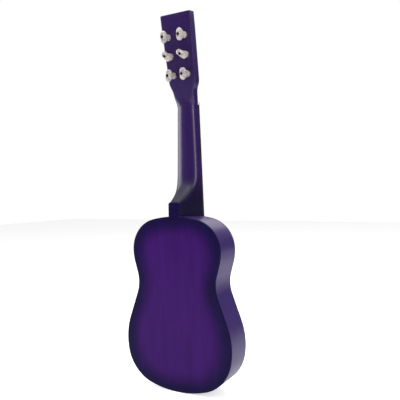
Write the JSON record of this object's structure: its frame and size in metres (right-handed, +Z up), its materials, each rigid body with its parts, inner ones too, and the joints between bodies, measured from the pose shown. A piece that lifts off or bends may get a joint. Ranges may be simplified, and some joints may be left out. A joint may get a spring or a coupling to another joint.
{
  "type": "child's guitar",
  "caption": "Small flat-backed steel-string guitar with a waisted hollow body, fretted neck, leaning headstock and turning friction tuners, finished in purple gloss.",
  "frame": {"origin": "bottom centre of the whole guitar's box, with the body's tail on z = 0", "axes": "+Z up the neck, -Y out of the soundboard, +Y out of the back, +X to the treble side"},
  "size_m": [0.1868, 0.0648, 0.5865],
  "materials": {
    "lacquered_body": "purple gloss lacquer over birch plywood, darker round the edges",
    "lacquered_neck": "purple gloss lacquer over solid wood",
    "raw_wood": "bare basswood",
    "dark_wood": "dark-dyed maple, satin",
    "rosette_dark": "dark celluloid strip under the lacquer",
    "rosette_pale": "ivory-coloured celluloid line under the lacquer",
    "fret_metal": "polished nickel silver",
    "pearl_plastic": "pearly plastic",
    "white_plastic": "ivory-coloured moulded plastic",
    "knob_plastic": "off-white moulded plastic with a pearly swirl",
    "nickel": "nickel-plated steel",
    "screw_black": "black-oxide steel",
    "screw_steel": "zinc-plated steel",
    "brass": "turned brass",
    "plain_steel": "plain drawn steel wire",
    "wound_steel": "bronze-wound steel wire"
  },
  "bodies": {
    "body": {"back_braces": "raw_wood", "back_linings": "raw_wood", "back_plate": "lacquered_body", "bridge": "dark_wood", "bridge_pins": "white_plastic", "bridge_plate": "raw_wood", "fingerboard": "dark_wood", "fret_markers": "pearl_plastic", "frets": "fret_metal", "neck": "lacquered_neck", "neck_block": "raw_wood", "neck_screw": "screw_steel", "nut": "white_plastic", "rim_bass": "lacquered_body", "rim_treble": "lacquered_body", "rosette_band": "rosette_dark", "rosette_lines": "rosette_pale", "saddle": "white_plastic", "soundboard": "lacquered_body", "soundboard_braces": "raw_wood", "string_1": "plain_steel", "string_2": "plain_steel", "string_3": "plain_steel", "string_4": "wound_steel", "string_5": "wound_steel", "string_6": "wound_steel", "string_ball_ends": "brass", "tail_block": "raw_wood", "top_linings": "raw_wood", "tuner_bushings": "nickel", "tuner_washers": "nickel"},
    "tuner_1": {"tuner_1_knob": "knob_plastic", "tuner_1_post": "nickel", "tuner_1_screw": "screw_black", "tuner_1_winding": "plain_steel"},
    "tuner_2": {"tuner_2_knob": "knob_plastic", "tuner_2_post": "nickel", "tuner_2_screw": "screw_black", "tuner_2_winding": "plain_steel"},
    "tuner_3": {"tuner_3_knob": "knob_plastic", "tuner_3_post": "nickel", "tuner_3_screw": "screw_black", "tuner_3_winding": "plain_steel"},
    "tuner_4": {"tuner_4_knob": "knob_plastic", "tuner_4_post": "nickel", "tuner_4_screw": "screw_black", "tuner_4_winding": "wound_steel"},
    "tuner_5": {"tuner_5_knob": "knob_plastic", "tuner_5_post": "nickel", "tuner_5_screw": "screw_black", "tuner_5_winding": "wound_steel"},
    "tuner_6": {"tuner_6_knob": "knob_plastic", "tuner_6_post": "nickel", "tuner_6_screw": "screw_black", "tuner_6_winding": "wound_steel"}
  },
  "joints": [
    {"name": "tuner_1_turn", "type": "hinge", "parent": "body", "child": "tuner_1", "pos_m": [0.0128, -0.01336, 0.4949], "axis": [0, -0.9842, 0.1771], "continuous": true},
    {"name": "tuner_2_turn", "type": "hinge", "parent": "body", "child": "tuner_2", "pos_m": [0.0138, -0.00818, 0.52364], "axis": [0, -0.9842, 0.1771], "continuous": true},
    {"name": "tuner_3_turn", "type": "hinge", "parent": "body", "child": "tuner_3", "pos_m": [0.0144, -0.00301, 0.55238], "axis": [0, -0.9842, 0.1771], "continuous": true},
    {"name": "tuner_4_turn", "type": "hinge", "parent": "body", "child": "tuner_4", "pos_m": [-0.0144, -0.00301, 0.55238], "axis": [0, -0.9842, 0.1771], "continuous": true},
    {"name": "tuner_5_turn", "type": "hinge", "parent": "body", "child": "tuner_5", "pos_m": [-0.0138, -0.00818, 0.52364], "axis": [0, -0.9842, 0.1771], "continuous": true},
    {"name": "tuner_6_turn", "type": "hinge", "parent": "body", "child": "tuner_6", "pos_m": [-0.0128, -0.01336, 0.4949], "axis": [0, -0.9842, 0.1771], "continuous": true}
  ]
}
